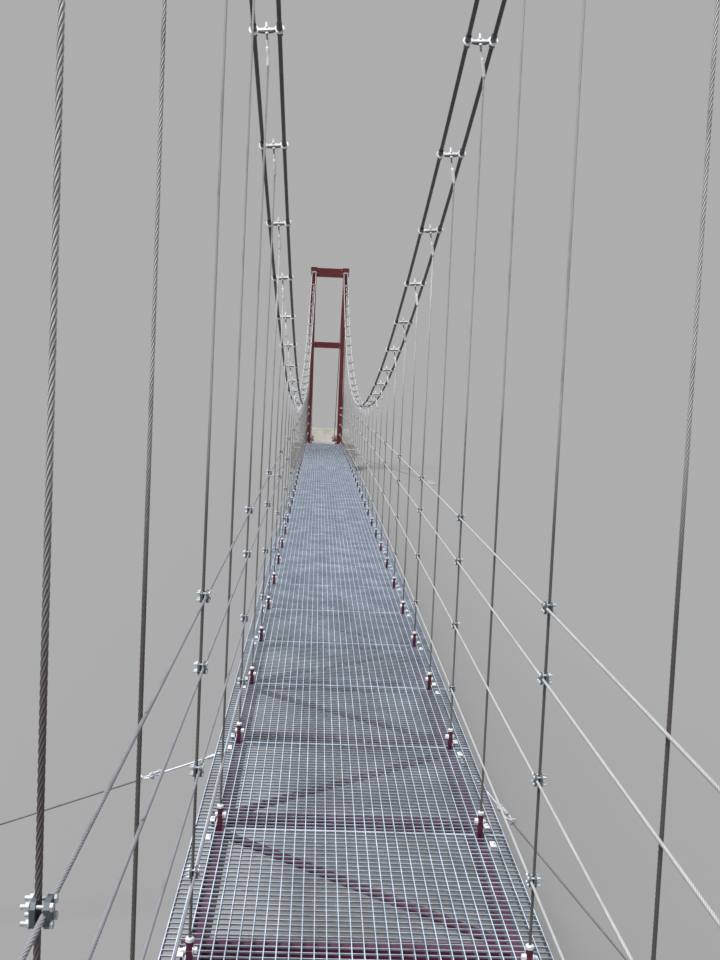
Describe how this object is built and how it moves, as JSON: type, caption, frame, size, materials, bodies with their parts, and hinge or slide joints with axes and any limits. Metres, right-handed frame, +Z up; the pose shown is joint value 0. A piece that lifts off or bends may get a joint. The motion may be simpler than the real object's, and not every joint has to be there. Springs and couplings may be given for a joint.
{
  "type": "rope suspension footbridge, 1:2 scale model",
  "caption": "Steel rope suspension footbridge with red portal towers, paired main cables, hangers, rope handrails and a narrow open grating deck.",
  "frame": {"origin": "on the floor under the middle of the span, on the centre line of the deck", "axes": "+Y along the deck from the near tower to the far tower, +X to the right of someone who looks along +Y, +Z up"},
  "size_m": [3.02, 24.8398, 3.013],
  "materials": {
    "red_paint": "satin, weathered",
    "galvanised": "hot-dip galvanised, dull",
    "steel_rope": "stranded wire rope, dull",
    "concrete": "cast, rough"
  },
  "bodies": {
    "root": {"main_cables_left_near": "steel_rope", "main_cables_left_middle": "steel_rope", "main_cables_left_far": "steel_rope", "main_cables_right_near": "steel_rope", "main_cables_right_middle": "steel_rope", "main_cables_right_far": "steel_rope", "handrail_toe_left": "galvanised", "handrail_low_left": "galvanised", "handrail_middle_left": "galvanised", "handrail_top_left": "galvanised", "handrail_toe_right": "galvanised", "handrail_low_right": "galvanised", "handrail_middle_right": "galvanised", "handrail_top_right": "galvanised", "deck_frame_near": "red_paint", "deck_frame_middle": "red_paint", "deck_frame_far": "red_paint", "grating_near": "galvanised", "grating_middle": "galvanised", "grating_far": "galvanised", "tower_near_top_beam": "red_paint", "tower_near_portal_beam": "red_paint", "tower_near_abutment": "concrete", "tower_near_post_left": "red_paint", "tower_near_post_right": "red_paint", "tower_near_saddle_left": "red_paint", "tower_near_saddle_right": "red_paint", "tower_far_top_beam": "red_paint", "tower_far_portal_beam": "red_paint", "tower_far_abutment": "concrete", "tower_far_post_left": "red_paint", "tower_far_post_right": "red_paint", "tower_far_saddle_left": "red_paint", "tower_far_saddle_right": "red_paint", "backstay_near_left": "steel_rope", "backstay_near_right": "steel_rope", "backstay_far_left": "steel_rope", "backstay_far_right": "steel_rope", "anchor_block_near": "concrete", "anchor_block_far": "concrete", "wind_guy_near_left": "galvanised", "wind_guy_near_right": "galvanised", "wind_guy_far_left": "galvanised", "wind_guy_far_right": "galvanised"}
  },
  "joints": []
}
